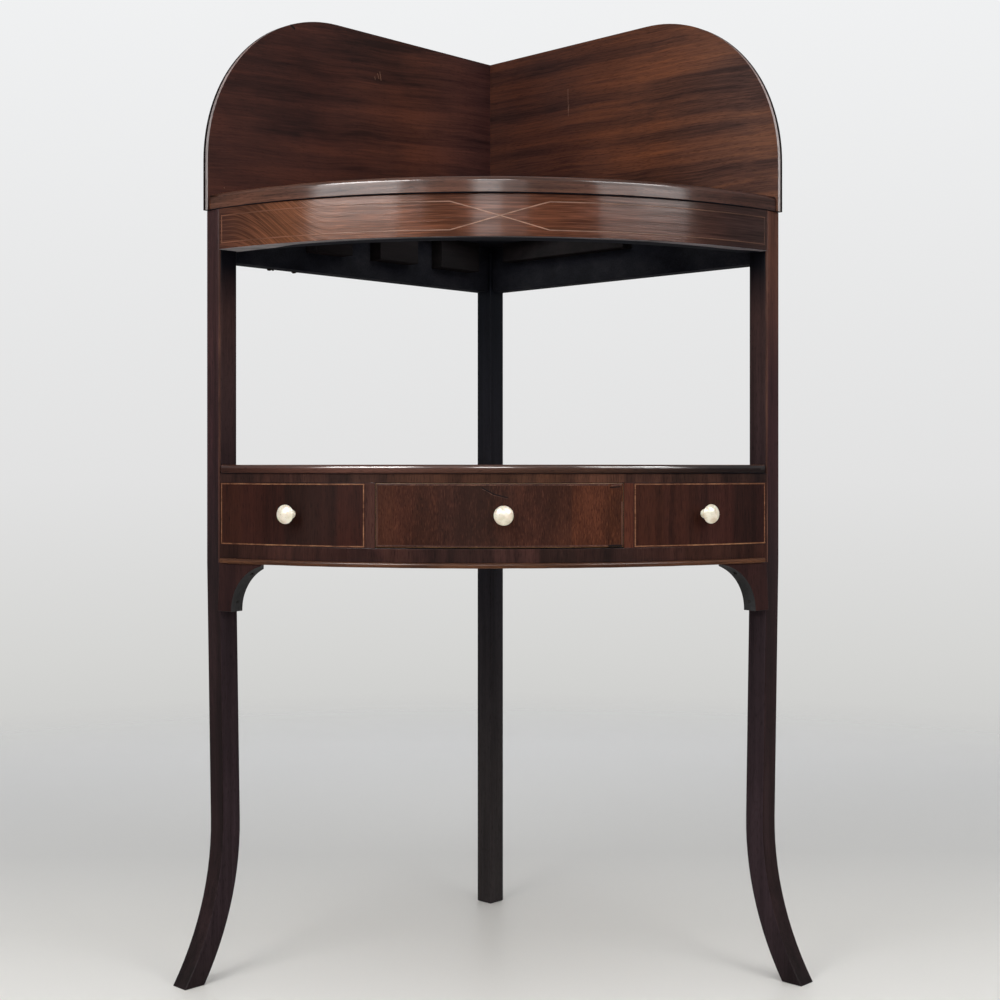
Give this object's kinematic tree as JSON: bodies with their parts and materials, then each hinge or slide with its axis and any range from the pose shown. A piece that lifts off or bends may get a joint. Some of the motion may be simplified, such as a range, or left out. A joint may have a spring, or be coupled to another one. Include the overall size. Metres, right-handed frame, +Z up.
{
  "type": "corner washstand",
  "caption": "Bow-front corner washstand: rounded splashback, top with basin and cup holes, tier with a drawer between dummy fronts, inlaid lines and square legs splayed at the feet.",
  "frame": {"origin": "bottom centre of the stand's bounding box, on the floor", "axes": "+Z up, -Y towards the bowed front, +X to the right as seen from the front"},
  "size_m": [0.66, 0.4317, 1.027],
  "materials": {
    "mahogany": "old wax polish, dark red-brown",
    "pine": "bare, brown with age",
    "oak": "bare, brown with age",
    "boxwood": "polished over with the mahogany",
    "bone": "turned and polished",
    "iron": "dark and rough"
  },
  "bodies": {
    "stand": {"front_leg_left": "mahogany", "front_leg_right": "mahogany", "rear_leg": "mahogany", "upper_side_rail_left": "mahogany", "upper_side_rail_right": "mahogany", "tier_side_rail_left": "mahogany", "tier_side_rail_right": "mahogany", "frieze_rail": "mahogany", "splashback_left": "mahogany", "splashback_right": "mahogany", "top_board": "mahogany", "tier_shelf": "mahogany", "tier_rail_top": "mahogany", "tier_rail_bottom": "mahogany", "tier_bead": "mahogany", "dummy_front_left": "mahogany", "dummy_front_right": "mahogany", "divider_left": "mahogany", "divider_right": "mahogany", "bracket_left": "mahogany", "bracket_right": "mahogany", "glue_blocks_left": "pine", "glue_batten_right": "pine", "tier_bottom_board": "pine", "drawer_runner_left": "pine", "drawer_runner_right": "pine", "drawer_guide_left": "pine", "drawer_guide_right": "pine", "drawer_kicker_left": "pine", "drawer_kicker_right": "pine", "drawer_stops": "pine", "leg_stringing_left": "boxwood", "leg_stringing_right": "boxwood", "frieze_stringing": "boxwood", "dummy_stringing_left": "boxwood", "dummy_stringing_right": "boxwood", "knob_left": "bone", "knob_right": "bone", "splash_nails": "iron", "bracket_nails": "iron"},
    "drawer": {"drawer_front": "mahogany", "drawer_side_left": "oak", "drawer_side_right": "oak", "drawer_back": "oak", "drawer_bottom": "oak", "drawer_stringing": "boxwood", "drawer_knob": "bone"}
  },
  "joints": [
    {"name": "drawer_slide", "type": "slide", "parent": "stand", "child": "drawer", "axis": [0, -1, 0], "range_m": [0, 0.15]}
  ]
}
